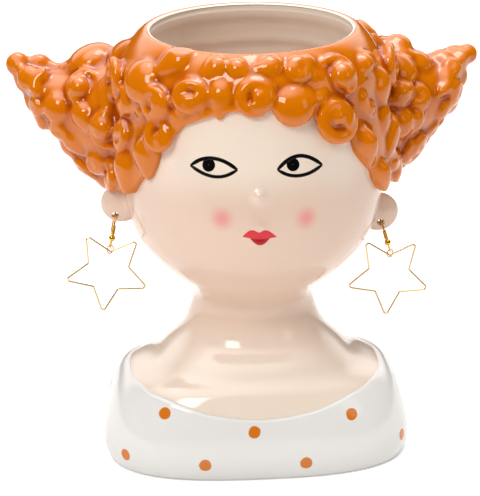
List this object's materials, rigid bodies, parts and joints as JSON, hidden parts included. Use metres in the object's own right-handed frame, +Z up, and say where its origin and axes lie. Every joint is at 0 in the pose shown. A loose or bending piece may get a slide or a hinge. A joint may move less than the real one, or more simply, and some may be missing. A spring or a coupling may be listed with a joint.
{
  "type": "head planter",
  "caption": "Glazed head-shaped planter: hollow head, neck and bust with raised curly hair, pointed buns, pierced ears and swinging wire star earrings.",
  "frame": {"origin": "middle of the flat underside of the foot", "axes": "+Z up, the face looks along -Y, +X towards the viewer's right"},
  "size_m": [0.2236, 0.1359, 0.204],
  "materials": {
    "bare_glaze": "glossy cream glaze",
    "dress_glaze": "glossy white glaze",
    "hair_glaze": "glossy orange glaze",
    "gold_metal": "polished gold colour"
  },
  "bodies": {
    "planter": {"vessel": "bare_glaze", "dress": "dress_glaze", "hair": "hair_glaze", "bun_left": "hair_glaze", "bun_right": "hair_glaze", "ear_left": "bare_glaze", "ear_right": "bare_glaze"},
    "hook_left": {"ear_wire_left": "gold_metal", "wire_coil_left": "gold_metal", "bead_left": "gold_metal"},
    "ring_left": {"jump_ring_left": "gold_metal"},
    "star_left": {"star_left": "gold_metal"},
    "hook_right": {"ear_wire_right": "gold_metal", "wire_coil_right": "gold_metal", "bead_right": "gold_metal"},
    "ring_right": {"jump_ring_right": "gold_metal"},
    "star_right": {"star_right": "gold_metal"}
  },
  "joints": [
    {"name": "hook_swing_left", "type": "hinge", "parent": "planter", "child": "hook_left", "pos_m": [-0.0646, -0.006, 0.1173], "axis": [0, 1, 0], "range_deg": [0, 45]},
    {"name": "ring_swing_left", "type": "hinge", "parent": "hook_left", "child": "ring_left", "pos_m": [-0.06739, -0.0091, 0.10296], "axis": [0, 1, 0], "range_deg": [-8, 35]},
    {"name": "star_swing_left", "type": "hinge", "parent": "ring_left", "child": "star_left", "pos_m": [-0.06739, -0.0091, 0.10074], "axis": [1, 0, 0], "range_deg": [-15, 15]},
    {"name": "hook_swing_right", "type": "hinge", "parent": "planter", "child": "hook_right", "pos_m": [0.0596, -0.006, 0.1097], "axis": [0, -1, 0], "range_deg": [0, 45]},
    {"name": "ring_swing_right", "type": "hinge", "parent": "hook_right", "child": "ring_right", "pos_m": [0.06351, -0.0091, 0.09606], "axis": [0, -1, 0], "range_deg": [-8, 35]},
    {"name": "star_swing_right", "type": "hinge", "parent": "ring_right", "child": "star_right", "pos_m": [0.06351, -0.0091, 0.09384], "axis": [1, 0, 0], "range_deg": [-15, 15]}
  ]
}
